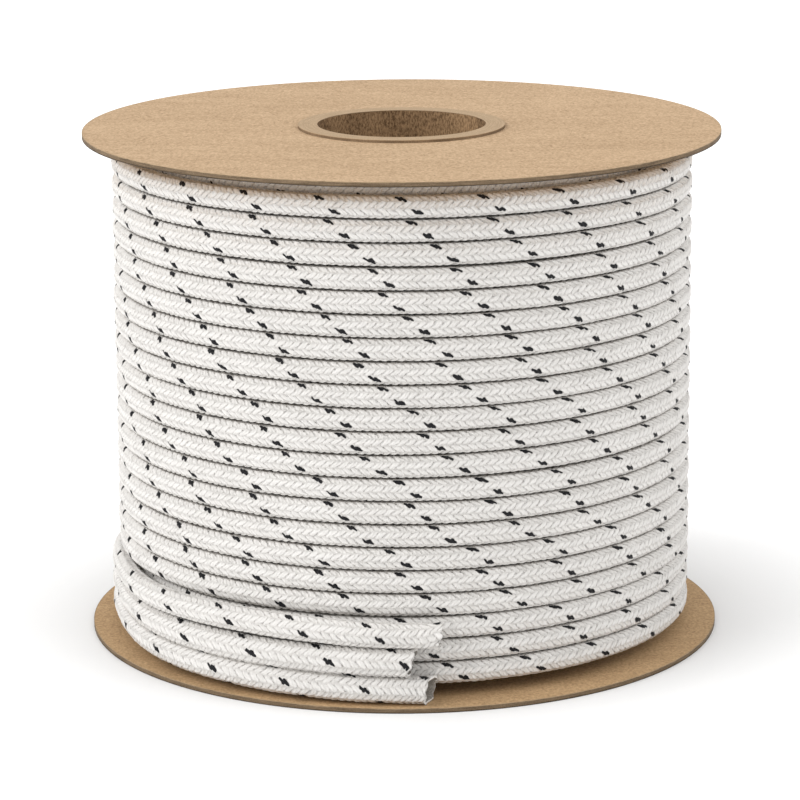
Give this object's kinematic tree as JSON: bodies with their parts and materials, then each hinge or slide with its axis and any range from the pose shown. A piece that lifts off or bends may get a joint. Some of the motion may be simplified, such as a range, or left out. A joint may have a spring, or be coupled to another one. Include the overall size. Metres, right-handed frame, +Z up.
{
  "type": "reel of braided dock line",
  "caption": "Upright paperboard reel with thin round flanges and an open core, level-wound with white braided line flecked with black; the cut ends lie together low on the front.",
  "frame": {"origin": "middle of the lower flange's underside, where the reel stands", "axes": "+Z up along the core, -Y towards the cut ends of the lines at the front, +X to the right as seen from the front"},
  "size_m": [0.288, 0.288, 0.231],
  "materials": {
    "core_board": "matte",
    "flange_board": "matte",
    "braid": "matte",
    "core_yarn": "matte"
  },
  "bodies": {
    "root": {"core_tube": "core_board", "bottom_flange": "flange_board", "top_flange": "flange_board", "winding_layer_1": "braid", "winding_layer_2": "braid", "winding_layer_3": "braid", "winding_layer_4": "braid", "winding_layer_5": "braid", "winding_layer_6": "braid", "winding_layer_7": "braid", "winding_layer_8": "braid", "winding_layer_9": "braid", "tail_a_cover": "braid", "tail_a_core": "core_yarn", "tail_b_cover": "braid", "tail_b_core": "core_yarn", "tail_c_cover": "braid", "tail_c_core": "core_yarn"}
  },
  "joints": []
}
